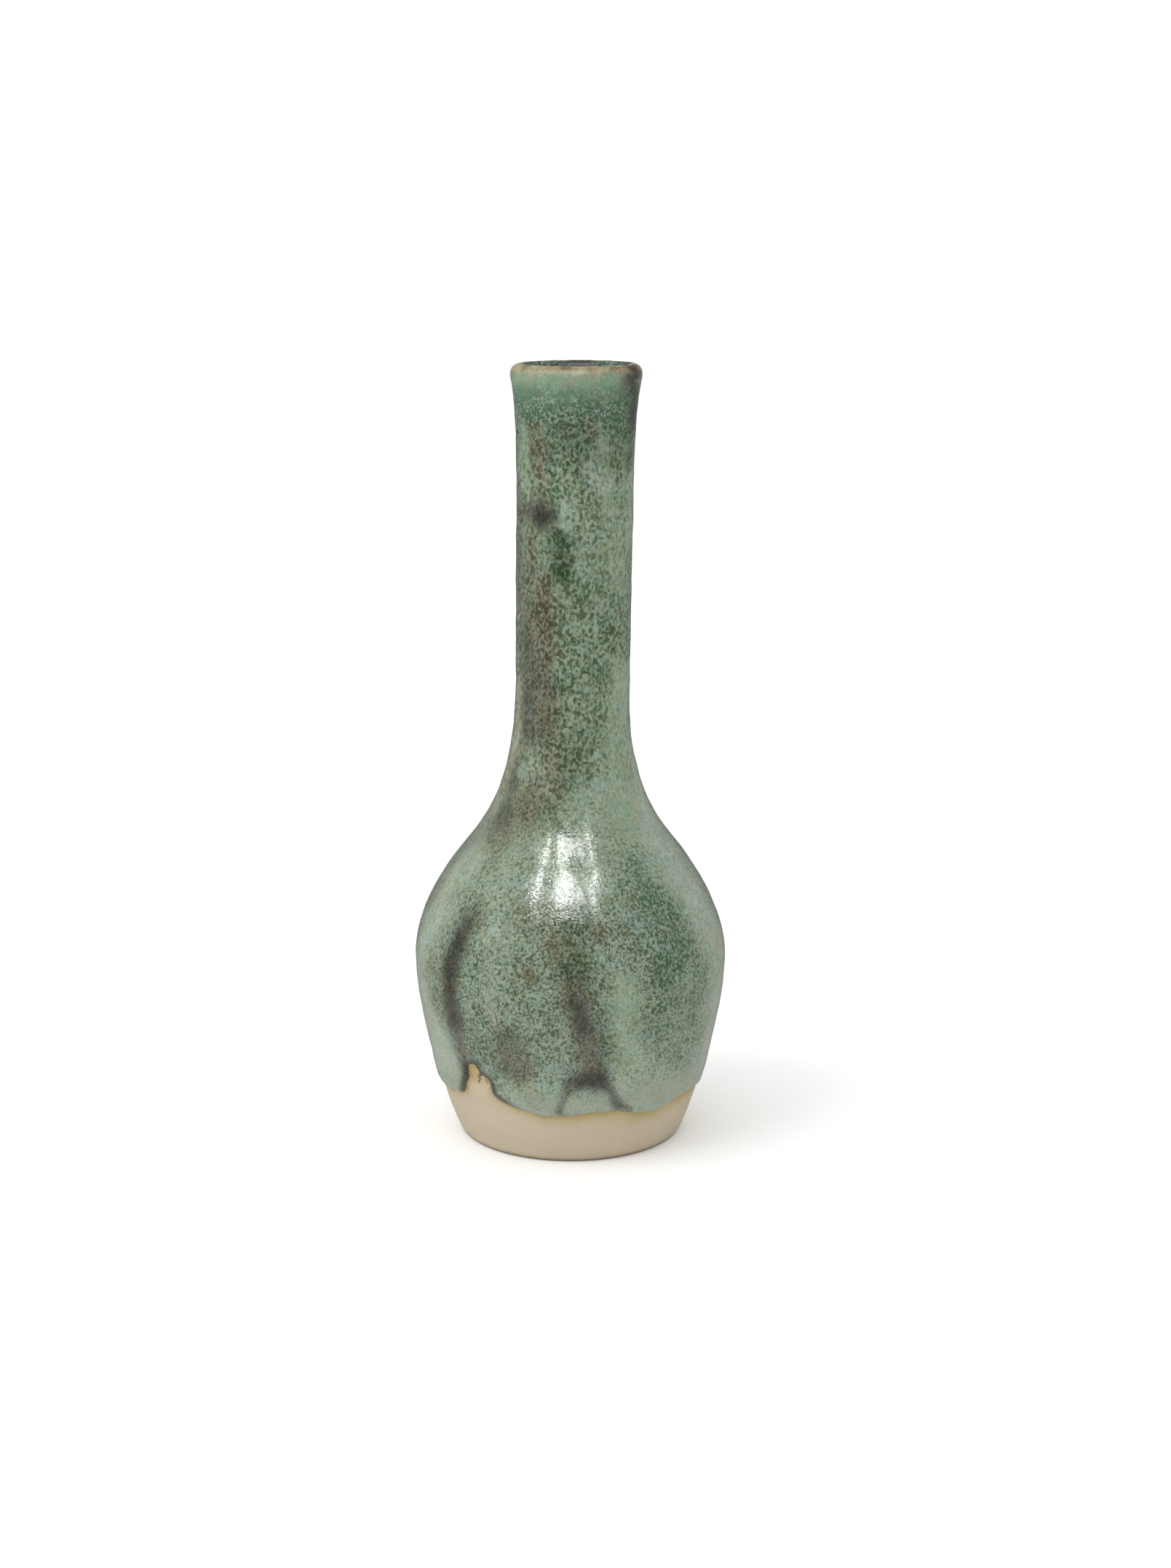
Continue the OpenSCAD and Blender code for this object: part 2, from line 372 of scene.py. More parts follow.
# Marks over the bands: paint, strength, half-width in mm, and the azimuths and heights that it runs
# through. Wide soft washes come first, then runs and spots.
FRONT_MARKS = [
    # washes on the belly; near the sides the pale ones are partly pale glaze and partly painted sheen
    ("pale", 0.75, 6.0, [(-74, 22), (-68, 50), (-66, 62)]),
    ("pale", 0.6, 6.0, [(-76, 40), (-68, 24)]),
    ("milk", 1.0, 5.6, [(-72, 15), (-61, 20), (-55, 14)]),
    ("pale", 0.9, 4.6, [(-72, 17), (-62, 20)]),
    ("frost", 0.45, 3.0, [(-62, 44), (-63, 30)]),
    ("grey", 0.55, 5.0, [(-88, 44), (-78, 62)]),
    ("pale", 1.0, 7.4, [(76, 18), (74, 36), (64, 52), (56, 66)]),
    ("frost", 0.65, 4.5, [(68, 50), (58, 64)]),
    ("milk", 0.9, 2.6, [(-20, 12.5), (4, 12.5), (30, 13), (62, 14)]),
    ("sage", 0.7, 6.0, [(50, 22), (46, 36)]),
    ("deep_teal", 0.8, 5.0, [(36, 57), (42, 48), (40, 40)]),
    ("celadon", 0.95, 3.0, [(20, 37), (22, 24)]),
    ("mint", 0.7, 3.4, [(26, 61), (8, 68)]),
    ("mint", 0.5, 4.0, [(-40, 54), (-30, 46)]),
    ("dark_green", 0.55, 3.0, [(2, 47), (2, 40)]),
    ("umber_green", 0.65, 4.0, [(-14, 49), (-2, 44)]),
    ("mint", 0.35, 3.0, [(-30, 47), (-22, 44)]),
    ("umber_green", 0.55, 4.0, [(-60, 36), (-56, 30)]),
    ("smoke", 0.95, 3.3, [(-23.5, 26), (-20, 21)]),
    ("brown", 0.5, 2.4, [(-20, 24), (-17, 20)]),
    ("beige", 0.55, 1.8, [(-15, 17), (-15, 13)]),
    ("beige", 0.5, 1.6, [(-31, 40), (-28, 31)]),
    # washes on the shoulder and the neck; the pale ones at the sides are partly pale glaze, partly painted
    # sheen
    ("brown", 0.78, 5.4, [(-52, 62), (-30, 69)]),
    ("brown", 0.35, 3.2, [(-30, 66), (-14, 73)]),
    ("umber_green", 0.8, 3.2, [(-30, 72), (-14, 78)]),
    ("beige", 0.45, 4.0, [(-72, 66), (-66, 72)]),
    ("smoke", 0.9, 2.4, [(-58, 76), (-56, 64)]),
    ("mint", 0.75, 1.8, [(-46, 74), (-34, 75)]),
    ("dark_green", 0.3, 2.4, [(-4, 78), (4, 74)]),
    ("smoke", 1.0, 4.0, [(-48, 103), (-49, 92), (-47, 82)]),
    ("charcoal", 0.15, 2.2, [(-47, 100), (-48, 90), (-45, 82)]),
    ("brown", 1.0, 2.7, [(-34, 110), (-31, 96), (-26, 83)]),
    ("smoke", 0.35, 2.6, [(-32, 96), (-27, 84)]),
    ("beige", 0.85, 1.8, [(-70, 90), (-68, 74)]),
    ("celadon", 1.0, 3.8, [(58, 91), (50, 76), (44, 64)]),
    ("pale", 0.6, 2.6, [(76, 92), (74, 70)]),
    ("sage", 0.7, 2.6, [(66, 118), (66, 98)]),
    ("smoke", 0.75, 3.4, [(-76, 120), (-66, 108)]),
    ("brown", 0.55, 2.2, [(-46, 118), (-42, 106)]),
    ("celadon", 0.5, 3.2, [(36, 126), (52, 112)]),
    ("celadon", 0.6, 2.2, [(-58, 138), (-54, 128)]),
    ("pale", 0.55, 2.6, [(70, 134), (76, 118)]),
    ("umber_green", 0.85, 2.2, [(-34, 137), (-36, 127)]),
    ("top_green", 0.9, 3.8, [(-12, 138), (18, 134)]),
    ("grey", 0.55, 2.0, [(-84, 136), (-80, 128)]),
    ("brown", 0.65, 1.5, [(-43, 138), (-42, 131)]),
    ("brown", 0.55, 1.8, [(12, 140), (20, 137)]),
    ("brown", 0.35, 1.4, [(30, 135), (34, 132)]),
    ("frost", 0.55, 1.8, [(17, 131), (27, 128)]),
    ("celadon", 0.45, 1.8, [(28, 136), (34, 124)]),
    ("dark_green", 1.0, 2.0, [(-13, 118.5), (-9, 111.5)]),
    ("dark_green", 0.6, 1.5, [(-22, 116), (-17, 112)]),
    ("frost", 0.55, 0.8, [(-12.5, 124.2), (-11, 120.5)]),
    ("frost", 0.5, 0.6, [(-8, 125), (-6, 124.4)]),
    ("ink", 1.0, 2.3, [(-44, 123.2), (-28, 122.2)]),
    ("smoke", 0.9, 1.8, [(-80, 123), (-50, 123)]),
    # runs and spots on the belly
    ("smoke", 0.7, 3.0, [(-43, 48), (-48, 36), (-46, 22)]),
    ("ink", 0.84, 2.1, [(-46, 43.5), (-48.4, 37), (-48.4, 31), (-46.6, 27.5)]),
    ("charcoal", 0.7, 1.2, [(-44, 47), (-46, 43)]),
    ("smoke", 0.9, 1.2, [(-46, 26), (-45.5, 20), (-48, 15), (-51, 12)]),
    ("dark_green", 0.55, 3.0, [(1, 41), (5, 33), (10, 26), (9, 20)]),
    ("brown", 0.85, 2.6, [(2, 37), (4, 31), (7, 25), (7, 20)]),
    ("smoke", 0.9, 1.9, [(3, 35), (5, 30), (8, 24)]),
    ("charcoal", 0.9, 1.7, [(2.6, 33.8), (4.4, 30.2)]),
    ("ink", 1.0, 2.1, [(1.8, 18.2), (6, 19), (12, 18.4)]),
    ("charcoal", 0.75, 0.9, [(13.5, 17.4), (16.5, 15.2), (20, 13)]),
    ("smoke", 0.8, 0.8, [(20, 13), (25, 11)]),
    ("smoke", 0.75, 1.0, [(0.5, 17.5), (-2, 14.2), (-4, 12)]),
    ("rust", 0.8, 0.9, [(-14.5, 39.8), (-12, 38.6)]),
    ("rust", 0.45, 1.3, [(-8, 45.4), (-5, 43.6)]),
    ("rust", 0.4, 1.4, [(8, 48.6), (11, 47.2)]),
    ("rust", 0.3, 1.0, [(-27, 49), (-25, 46)]),
    # the lip
    ("veil", 0.45, 1.2, [(-60, 145.4), (-30, 145.2), (0, 144.8), (30, 145.6)]),
    ("tan", 0.35, 0.5, [(-12, 146.2), (-11, 145.6)]),
    ("umber", 0.3, 0.35, [(-12, 145.5), (-10, 145.2)]),
    ("umber", 0.35, 0.4, [(34, 145.8), (35, 145.4)]),
    ("dark_green", 0.7, 2.0, [(64, 144), (66, 138), (66, 132)]),
    ("charcoal", 0.95, 2.3, [(54, 148.6), (61, 146.6), (68, 144), (70, 141)]),
]


BACK_PAINTS = ("brown", "mint", "dark_green", "celadon", "grey", "pale", "deep_teal", "olive", "smoke")
BACK_RUNS = ((121, 50, 27), (174, 39, 20), (222, 58, 38), (201, 103, 84))   # azimuth, top and bottom


def back_marks(count=46, seed=11):
    """Marks for the back of the vase, in the manner of the front's."""
    draw = random.Random(seed)
    marks = []
    for _ in range(count):
        azimuth, height = draw.uniform(92, 262), draw.uniform(14, 146)
        paint = draw.choice(BACK_PAINTS)
        length = draw.uniform(2, 13)
        slant = draw.uniform(-5, 5)
        marks.append((paint, draw.uniform(0.4, 0.85), draw.uniform(1.4, 4.2),
                      [(azimuth, height), (azimuth + slant, max(height - length, 12))]))
    for azimuth, top, bottom in BACK_RUNS:
        bend = draw.uniform(2, 5)
        path = [(azimuth, top), (azimuth - bend, (top + bottom) / 2), (azimuth - bend / 2, bottom)]
        marks.append(("smoke", draw.uniform(0.55, 0.75), draw.uniform(3.6, 4.6), path))
        marks.append(("ink", draw.uniform(0.4, 0.7), draw.uniform(1.8, 2.5), path[:2]))
        marks.append(("charcoal", draw.uniform(0.4, 0.6), draw.uniform(1.6, 2.2), path[1:]))
    return marks


MARKS = FRONT_MARKS + back_marks()


def mark_weight(azimuth, height, radius, half_width, path):
    """From 1 in the middle of a mark to 0 outside it, with soft, uneven sides."""
    middle = np.mean([a for a, _ in path])
    x = np.radians(turned(azimuth, middle)) * radius + waves(
        azimuth, height, (9, 11, 0, 0.25), (-17, 7, 1, 0.15), (31, 9, 2, 0.1), (-43, 4, 5, 0.07))
    y = climb(height) + waves(
        azimuth, height, (13, 11, 3, 0.3), (-23, 8, 0, 0.2), (37, 5, 1, 0.1), (5, 4, 4, 0.1))
    level = np.array([h for _, h in path], float)
    spread = np.interp(level, OUTSIDE[:, 1], OUTSIDE[:, 0])
    points = np.stack([np.radians([a - middle for a, _ in path]) * spread, climb(level)], 1)
    nearest = np.full(x.shape, FAR)
    for start, end in zip(points[:-1], points[1:]):
        nearest = np.minimum(nearest, segment_distance(x, y, start, end - start))
    return bell(nearest, half_width, 2.6)


def paint_fields(paint):
    """The two colours and the three numbers of a paint."""
    ground, fleck, *numbers = PAINTS[paint]
    return [seen(*ground), seen(*fleck), *(np.array([number]) for number in numbers)]


def bands_at(height):
    """The fields at each height, from the two bands that it lies between."""
    known = [h for h, _ in BANDS]
    in_bands = [np.transpose(field) for field in zip(*(paint_fields(paint) for _, paint in BANDS))]
    return [np.stack([np.interp(height, known, part) for part in field], -1) for field in in_bands]


def blend_paint(fields, paint, weight):
    """Lays one paint over the fields by a weight."""
    for field, new in zip(fields, paint_fields(paint)):
        field += (new - field) * weight[..., None]


LEVEL_FROM = 140         # the bands waver up and down below this height


def glaze_paint(azimuth, height, radius):
    """The bands and the marks: each field at each point."""
    uneven = height + waves(azimuth, height, (3, 60, 0, 2.2), (-5, 30, 2, 1.6), (8, 19, 1, 1.0))
    fields = bands_at(np.where(height > LEVEL_FROM, height, uneven))
    for paint, strength, half_width, path in MARKS:
        blend_paint(fields, paint, strength * mark_weight(azimuth, height, radius, half_width, path))
    return fields


# ---------------- meshes


def taken_round(section, columns):
    """The azimuth, radius and height of each point when a section is taken round the vase."""
    azimuth, radius = np.meshgrid(columns, section[:, 0])
    height = np.meshgrid(columns, section[:, 1])[1]
    return azimuth, radius, height


def shell(name, grid, start_pole=None, end_pole=None):
    """A closed mesh from a grid of points, rows by columns. Columns close round the vase. Rows close on
    themselves, or end in a point on the axis at both ends."""
    rows, columns = grid.shape[:2]
    points = [grid.reshape(-1, 3)]
    index = np.arange(rows * columns).reshape(rows, columns)
    beside = np.roll(index, -1, axis=1)
    if start_pole is None:
        above, above_beside = np.roll(index, -1, axis=0), np.roll(beside, -1, axis=0)
        quads = np.stack([index, beside, above_beside, above], -1).reshape(-1, 4).tolist()
    else:
        quads = np.stack([index[:-1], beside[:-1], beside[1:], index[1:]], -1).reshape(-1, 4).tolist()
        first, last = rows * columns, rows * columns + 1
        points += [np.array([start_pole, end_pole])]
        quads += [(first, b, a) for a, b in zip(index[0], beside[0])]
        quads += [(last, a, b) for a, b in zip(index[-1], beside[-1])]
    mesh = bpy.data.meshes.new(name)
    mesh.from_pydata(np.vstack(points).tolist(), [], quads)
    mesh.update()
    mesh.shade_smooth()
    piece = bpy.data.objects.new(name, mesh)
    bpy.context.scene.collection.objects.link(piece)
    if signed_volume(mesh) < 0:
        mesh.flip_normals()
    return piece


def signed_volume(mesh):
    """Volume inside a closed mesh, negative when its faces look inwards."""
    mesh.calc_loop_triangles()
    corners = np.empty(len(mesh.loop_triangles) * 3, int)
    mesh.loop_triangles.foreach_get("vertices", corners)
    co = np.empty(len(mesh.vertices) * 3)
    mesh.vertices.foreach_get("co", co)
    a, b, c = co.reshape(-1, 3)[corners.reshape(-1, 3)].transpose(1, 0, 2)
    return np.einsum("ij,ij->i", a, np.cross(b, c)).sum() / 6


def sharpen(mesh, degrees=50):
    """Keeps the hidden edges where two sides of a thin coat meet from bending the shading."""
    mesh.set_sharp_from_angle(angle=math.radians(degrees))


def store(piece, name, values, channels=1):
    """Keeps a number or a colour at each vertex for the material to read."""
    mesh = piece.data
    values = np.asarray(values, float).reshape(-1, channels)
    extra = len(mesh.vertices) - len(values)
    if extra:
        values = np.concatenate([values, np.repeat(values[-1:], extra, axis=0)])
    if channels == 3:
        layer = mesh.attributes.new(name, "FLOAT_COLOR", "POINT")
        full = np.concatenate([values, np.ones((len(values), 1))], 1)
        layer.data.foreach_set("color", full.ravel())
    else:
        layer = mesh.attributes.new(name, "FLOAT", "POINT")
        layer.data.foreach_set("value", values.ravel())


def store_paint(piece, fields, coarse, matt):
    """Keeps the paint's fields, the size of the flecks and the dullness at each vertex."""
    for name, values in zip(FIELDS, fields):
        store(piece, name, values, channels=values.shape[-1])
    store(piece, "coarse", coarse)
    store(piece, "matt", matt)


LIP_MATT = 0.3           # the glaze is this much duller where the two coats meet at the lip


def coarseness(height):
    """The flecks are larger on the neck than on the belly and at the lip."""
    over_shoulder = clamped((height - 58) / 16)
    under_lip = clamped((141 - height) / 10)
    return over_shoulder * under_lip


# ---------------- outer coat

GAP_LEFT, GAP_RIGHT = -54.0, -28.0      # the columns are closer together across the gap in the edge
GAP_STEP, WIDE_STEP = 0.2, 0.88         # azimuth between columns, in the gap and elsewhere
EDGE_WIDTH = 1.1        # the coat rises to its full thickness over this distance from its edge
EDGE_DEPTH = 0.04       # its edge dips into the clay by this much
EDGE_FADE = 27.0        # the rows stop following the edge this far over it
FULL_RUN = 5            # the glaze is a fifth thinner at its edge than this far up
ROLL_MIDDLE, ROLL_WIDTH, ROLL_HEIGHT = 1.2, 0.8, 0.10      # the rolled rim along the edge
COAT_BACK_ROWS, COAT_BACK_DEPTH = 30, 0.12                 # the coat's hidden side, in the clay


def coat_columns():
    """Azimuths of the columns."""
    gap = np.arange(GAP_LEFT, GAP_RIGHT, GAP_STEP)
    return np.concatenate([gap, np.arange(GAP_RIGHT, GAP_LEFT + 360, WIDE_STEP)])


def coat_rows(length=137, first_step=0.10, growth=1.15, last_step=0.95):
    """Places of the rows from 0 to 1, close together at the edge and wider further up."""
    heights, step = [0.0], first_step
    while heights[-1] < length:
        heights.append(heights[-1] + step)
        step = min(step * growth, last_step)
    heights = np.array(heights)
    return heights / heights[-1]


def coat_relief(azimuth, height, radius):
    """Extra thickness of the glaze: slow waves, and the runs, which stand proud."""
    proud = waves(azimuth, height, (5, 31, 0, 0.03), (-9, 17, 2, 0.025), (14, 12, 4, 0.02), (23, 8, 1, 0.015))
    for paint, strength, half_width, path in MARKS:
        if paint == "charcoal":
            proud = proud + 0.14 * strength * mark_weight(azimuth, height, radius, half_width * 1.2, path)
    return proud


def coat_thickness(azimuth, height, distance, radius):
    """The coat thins out towards the lip and rolls down to nothing at its lower edge."""
    thin = clamped((height - NECK_END) / (LIP_EDGE - NECK_END))
    thick = COAT + (LIP_COAT - COAT) * thin
    rise = np.sin(clamped(distance / EDGE_WIDTH) * math.pi / 2)
    roll = ROLL_HEIGHT * bell(distance - ROLL_MIDDLE, ROLL_WIDTH)
    proud = coat_relief(azimuth, height, radius) * (1 - thin)
    full = 0.8 * thick + 0.2 * thick * clamped(distance / FULL_RUN)
    return (full + proud + roll) * rise - EDGE_DEPTH * (1 - rise)


def outline_edge(fields, azimuth, height, distance):
    """A dark line along the edge round the gap, and a faint grey one everywhere else."""
    dark_side = clamped((20 - np.abs(azimuth + 38)) / 10)
    patchy = clamped(1.0 + waves(azimuth, height, (29, 9, 0, 0.12), (-47, 6, 2, 0.10)))
    reach = 1.1 + 0.5 * clamped((azimuth + 43) / 4) * clamped((-20 - azimuth) / 6)
    dark_line = clamped(1.2 * bell(distance, reach, 3))
    blend_paint(fields, "ink", dark_line * dark_side * patchy)
    blend_paint(fields, "grey", 0.25 * bell(distance, 0.5) * (1 - dark_side))


def make_outer_coat():
    """The coat outside, from its wavy lower edge to the lip's coat."""
    columns = coat_columns()
    low = min(h for _, h in EDGE) - 0.3
    spread = low + coat_rows() * (LIP_EDGE - low)
    lift = edge_height(columns) - low
    fade = clamped(1 - (spread - low) / EDGE_FADE)
    height = spread[:, None] + fade[:, None] * lift[None, :]
    azimuth = np.broadcast_to(columns, height.shape)
    radius, out, up = outside(height)
    distance = edge_distance(azimuth, height)
    thickness = coat_thickness(azimuth, height, distance, radius)
    front = place(azimuth, radius + out * thickness, height + up * thickness)

    back_rows = np.linspace(len(spread) - 1, 0, COAT_BACK_ROWS).round().astype(int)
    depth = COAT_BACK_DEPTH
    back = place(azimuth[back_rows], (radius - out * depth)[back_rows], (height - up * depth)[back_rows])
    coat = shell("outer_coat", np.concatenate([front, back]))
    sharpen(coat.data)

    fields = glaze_paint(azimuth, height, radius)
    outline_edge(fields, azimuth, height, distance)
    matt = LIP_MATT * clamped((height - LIP_EDGE + 3) / 3)
    all_rows = np.concatenate([np.arange(len(spread)), back_rows])
    store_paint(coat, [field[all_rows] for field in fields], coarseness(height)[all_rows], matt[all_rows])
    return coat


# ---------------- lip coat

# Where the tan of the lip is darkened by brown specks: azimuth, half-width in degrees, strength.
LIP_RUST = [
    (-54, 6, 0.6), (-25, 5, 0.5), (-10, 8, 1.0), (13, 5, 0.6), (37, 6, 0.7), (59, 9, 1.0),
    (92, 9, 0.6), (128, 12, 0.9), (163, 8, 0.5), (-102, 12, 0.8), (-140, 9, 0.6), (-168, 7, 0.7),
]


def paint_lip(fields, azimuth, share):
    """Tan over the outside of the crest with brown specks and a pale line that swells at the front into a
    painted highlight, and dark teal inside it, with painted shade at the back. The share runs from 0 at
    the lip's outer edge to 1 at its inner edge."""
    share = share + waves(azimuth, 0, (7, 1, 0, 0.02), (17, 1, 2, 0.02))
    crest = 0.58 - 0.16 * clamped((np.abs(turned(azimuth, 0)) - 90) / 30)
    over = clamped((crest - share) / 0.08)
    blend_paint(fields, "cream", 0.8 * clamped((share - 0.05) / 0.12) * over)
    blend_paint(fields, "tan", clamped((share - 0.14) / 0.12) * over)
    for middle, half_width, strength in LIP_RUST:
        near = bell(turned(azimuth, middle), half_width)
        blend_paint(fields, "umber", 0.95 * strength * near * bell(share - 0.32, 0.12))
    # a pale line all round the crest, where the glaze breaks pale, swelling at the front into a painted
    # highlight
    pale_line_and_glint = 0.4 + 0.5 * bell(turned(azimuth, 6), 12)
    blend_paint(fields, "crest", pale_line_and_glint * bell(share - crest + 0.04, 0.05))
    dark = bell(turned(azimuth, 64), 12)
    blend_paint(fields, "charcoal", 0.9 * dark * clamped((0.5 - share) / 0.1))
    inside = clamped((share - crest) / 0.12)
    blend_paint(fields, "deep_teal", inside)
    # painted shade on the inner side of the lip at the back of the mouth
    blend_paint(fields, "charcoal", inside * painted_shade_behind(azimuth))
    blend_paint(fields, "charcoal", inside * 0.8 * bell(turned(azimuth, 112), 16))


def painted_shade_behind(azimuth):
    """Painted shade at the back of the mouth, which shows over the lip from the front."""
    return bell(turned(azimuth, 178), 26)


def make_lip_coat():
    """The thin coat over the crest of the lip."""
    section = clay_lip()
    share = np.linspace(0, 1, len(section))[:, None]
    azimuth, radius, height = taken_round(section, np.arange(0, 360, 0.9))
    out, up = LIP_AWAY[:, :1], LIP_AWAY[:, 1:]
    ends = np.sin(share * math.pi) ** 0.5
    pitted = ends * waves(azimuth, height, (11, 3, 0, 0.02), (-19, 2, 1, 0.015), (37, 5, 2, 0.01))
    thickness = LIP_COAT + pitted
    front = place(azimuth, radius + out * thickness, height + up * thickness)
    back_rows = np.arange(len(section) - 1, -1, -3)
    back = place(azimuth[back_rows], (radius - out * HIDDEN)[back_rows], (height - up * HIDDEN)[back_rows])
    coat = shell("lip_coat", np.concatenate([front, back]))
    sharpen(coat.data)

    fields = glaze_paint(azimuth, np.minimum(height, HEIGHT), np.full(azimuth.shape, LIP_RADIUS))
    paint_lip(fields, azimuth, np.broadcast_to(share, azimuth.shape))
    all_rows = np.concatenate([np.arange(len(section)), back_rows])
    matt = np.broadcast_to(LIP_MATT + 0.6 * ends, azimuth.shape)
    store_paint(coat, [field[all_rows] for field in fields], coarseness(height)[all_rows], matt[all_rows])
    return coat


# ---------------- liner

LINER_BAND = 139         # the liner has the colours that the outside has at this height
LINER_MATT = 0.9
LINER_SHADE_FROM = 146    # painted shade: the liner darkens from this height down, over LINER_FADE
LINER_FADE = 12


def make_liner():
    """The coat inside, from the lip's coat down to the middle of the floor."""
    section = clay_inside()[::-1]          # from the middle of the floor up to the lip
    out = -away(section)
    near_lip = clamped((section[:, 1] - BORE_END) / (LIP_INNER - BORE_END))
    thickness = LINER + (LIP_COAT - LINER) * near_lip
    surface = section + out * thickness[:, None]
    hidden = (section - out * HIDDEN)[::-1]
    rows = np.concatenate([surface[1:], hidden[:-1]])
    azimuth, radius, height = taken_round(rows, np.arange(0, 360, 1.8))
    liner = shell("liner_coat", place(azimuth, radius, height),
                  (0, 0, (FLOOR + LINER) * MM), (0, 0, (FLOOR - HIDDEN) * MM))
    sharpen(liner.data)

    even = np.ones(azimuth.shape)
    fields = glaze_paint(azimuth, LINER_BAND * even, 9 * even)
    # painted shade inside the vase: charcoal over the liner's colours, deeper further down the bore
    blend_paint(fields, "charcoal", 0.45 + 0.3 * clamped((LINER_SHADE_FROM - height) / LINER_FADE))
    # painted shade down the back of the bore
    blend_paint(fields, "charcoal", 0.8 * painted_shade_behind(azimuth))
    store_paint(liner, fields, coarseness(height), LINER_MATT * even)
    return liner


# ---------------- clay

FINE_BELOW = 21          # the clay's rows are close together up to here, where it can be seen
HIDDEN_STEP = 1.8        # and this far apart under the glaze
UNDER_LIP = 0.02         # under the lip's coat the clay is drawn this much lower, to stay out of sight


def clay_section():
    """The whole section, with fewer points where a coat hides the clay."""
    outer = clay_outside()
    spaced = [p for p in outer if p[1] < FINE_BELOW]
    for point in outer:
        if point[1] >= FINE_BELOW and np.linalg.norm(point - spaced[-1]) > HIDDEN_STEP:
            spaced.append(point)
    lip = clay_lip()[::4] - away(clay_lip())[::4] * UNDER_LIP
    return np.vstack([clay_under_foot(), spaced, lip, clay_inside()[::2][1:-1]])


def ochre_halo(azimuth, height, distance):
    """The stain that the glaze's edge left on the clay: wider and stronger at the front."""
    below = np.maximum(distance, 0)
    beside = 0.45 * clamped((azimuth + 40) % 360 / 60) * (np.abs(turned(azimuth, 25)) < 75)
    front = bell(turned(azimuth, 25), 48, 4)
    narrow = 0.6 * bell(below, 0.45)
    wide = (0.55 + 0.25 * front) * bell(below, 1.5 + 0.6 * front)
    halo = np.where(distance > -1, narrow + wide, 0) * (0.55 + beside)
    in_gap = bell(turned(azimuth, -42), 3.2, 4) * clamped((height - 14.5) / 2.0)
    return clamped(halo + 0.45 * in_gap)


def brown_specks(azimuth, height, distance):
    """Where the clay has brown specks: in the gap, and along the edge beside it."""
    in_gap = 1.2 * bell(turned(azimuth, -39.5), 2.8) * bell(height - 16.3, 0.75)
    along_edge = 0.9 * bell(distance, 0.4) * (np.abs(turned(azimuth, -40)) < 10) * (distance > 0)
    return clamped(in_gap + along_edge)


def make_clay():
    """The fired clay, bare over the foot and coated everywhere else but underneath."""
    azimuth, radius, height = taken_round(clay_section()[1:], np.arange(0, 360, 1.0))
    in_hollow = (height < FOOT_HOLLOW + 0.01) & (radius < 12)
    trimmed = 0.03 * np.sin(2 * math.pi * radius / 2.3) * in_hollow
    clay = shell("clay", place(azimuth, radius, height + trimmed),
                 (0, 0, FOOT_HOLLOW * MM), (0, 0, FLOOR * MM))

    distance = -edge_distance(azimuth, height)
    store(clay, "halo", ochre_halo(azimuth, height, distance))
    store(clay, "specks", brown_specks(azimuth, height, distance))
    # painted contact shadow: the clay darkens towards its bottom edge, where the foot meets the floor
    store(clay, "foot", bell(height, 0.6))
    return clay


# ---------------- materials


